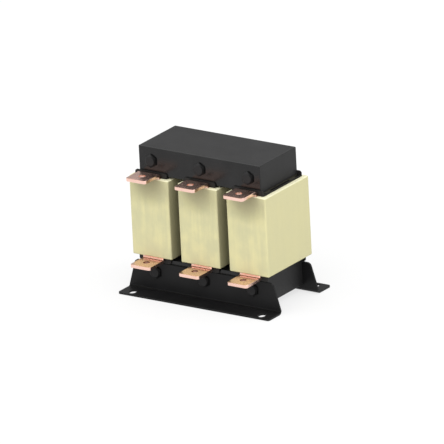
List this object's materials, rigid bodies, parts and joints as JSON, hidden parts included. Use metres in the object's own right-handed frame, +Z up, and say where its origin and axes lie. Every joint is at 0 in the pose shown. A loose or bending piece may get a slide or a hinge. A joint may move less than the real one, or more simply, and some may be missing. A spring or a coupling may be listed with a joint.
{
  "type": "power line filter reactor",
  "caption": "Three-phase power line filter reactor: iron core on two folded feet, yellow taped coils and bent copper bar terminals at the front.",
  "frame": {"origin": "on the floor under the middle of the outline, which reaches from the terminals' front edge to the rear foot's edge", "axes": "+X along the core to the right as seen from the terminals, -Y towards the terminals, +Z up"},
  "size_m": [0.187, 0.1218, 0.158],
  "materials": {
    "black_lacquer": "semi-gloss black dipping lacquer over iron sheets",
    "black_paint": "semi-gloss black paint on folded steel",
    "yellow_tape": "pale yellow polyester tape, satin",
    "copper": "bare copper bar, satin",
    "black_board": "black insulating board",
    "glass_board": "glass-fibre board",
    "black_steel": "blackened steel"
  },
  "bodies": {
    "root": {"three_limb_core": "black_lacquer", "upper_yoke": "black_lacquer", "limb_wedges": "glass_board", "front_bracket": "black_paint", "rear_bracket": "black_paint", "upper_bolts": "black_steel", "lower_bolts": "black_steel", "hex_nuts": "black_steel", "steel_washers": "black_steel", "insulating_washers": "black_board", "bolt_sleeves": "glass_board", "air_gap_spacer_left": "glass_board", "coil_former_left": "black_board", "winding_left": "copper", "tape_wrap_left": "yellow_tape", "top_terminal_left": "copper", "bottom_terminal_left": "copper", "air_gap_spacer_centre": "glass_board", "coil_former_centre": "black_board", "winding_centre": "copper", "tape_wrap_centre": "yellow_tape", "top_terminal_centre": "copper", "bottom_terminal_centre": "copper", "air_gap_spacer_right": "glass_board", "coil_former_right": "black_board", "winding_right": "copper", "tape_wrap_right": "yellow_tape", "top_terminal_right": "copper", "bottom_terminal_right": "copper"}
  },
  "joints": []
}
